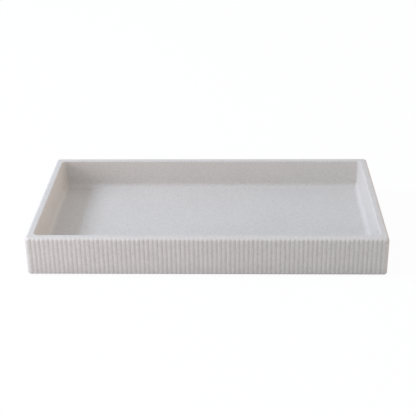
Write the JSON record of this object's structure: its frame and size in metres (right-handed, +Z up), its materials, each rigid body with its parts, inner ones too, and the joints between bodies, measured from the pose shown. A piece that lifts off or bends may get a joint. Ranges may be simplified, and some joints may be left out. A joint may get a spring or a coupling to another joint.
{
  "type": "vanity tray",
  "caption": "Rectangular open tray with fine vertical ribs around its outer walls, a plain rounded rim and a smooth filleted well, for keeping toiletries together on a vanity.",
  "frame": {"origin": "on the counter under the middle of the tray, in the plane that the foot pads stand on", "axes": "+X along the length, +Y from the front long side to the back one, +Z up"},
  "size_m": [0.3, 0.165, 0.0352],
  "materials": {
    "cast_stone": "matte",
    "pad_rubber": "matte",
    "adhesive_film": "satin"
  },
  "bodies": {
    "root": {"tray_body": "cast_stone", "foot_pad_front_left": "pad_rubber", "foot_pad_front_right": "pad_rubber", "foot_pad_back_left": "pad_rubber", "foot_pad_back_right": "pad_rubber", "adhesive_disc_front_left": "adhesive_film", "adhesive_disc_front_right": "adhesive_film", "adhesive_disc_back_left": "adhesive_film", "adhesive_disc_back_right": "adhesive_film"}
  },
  "joints": []
}
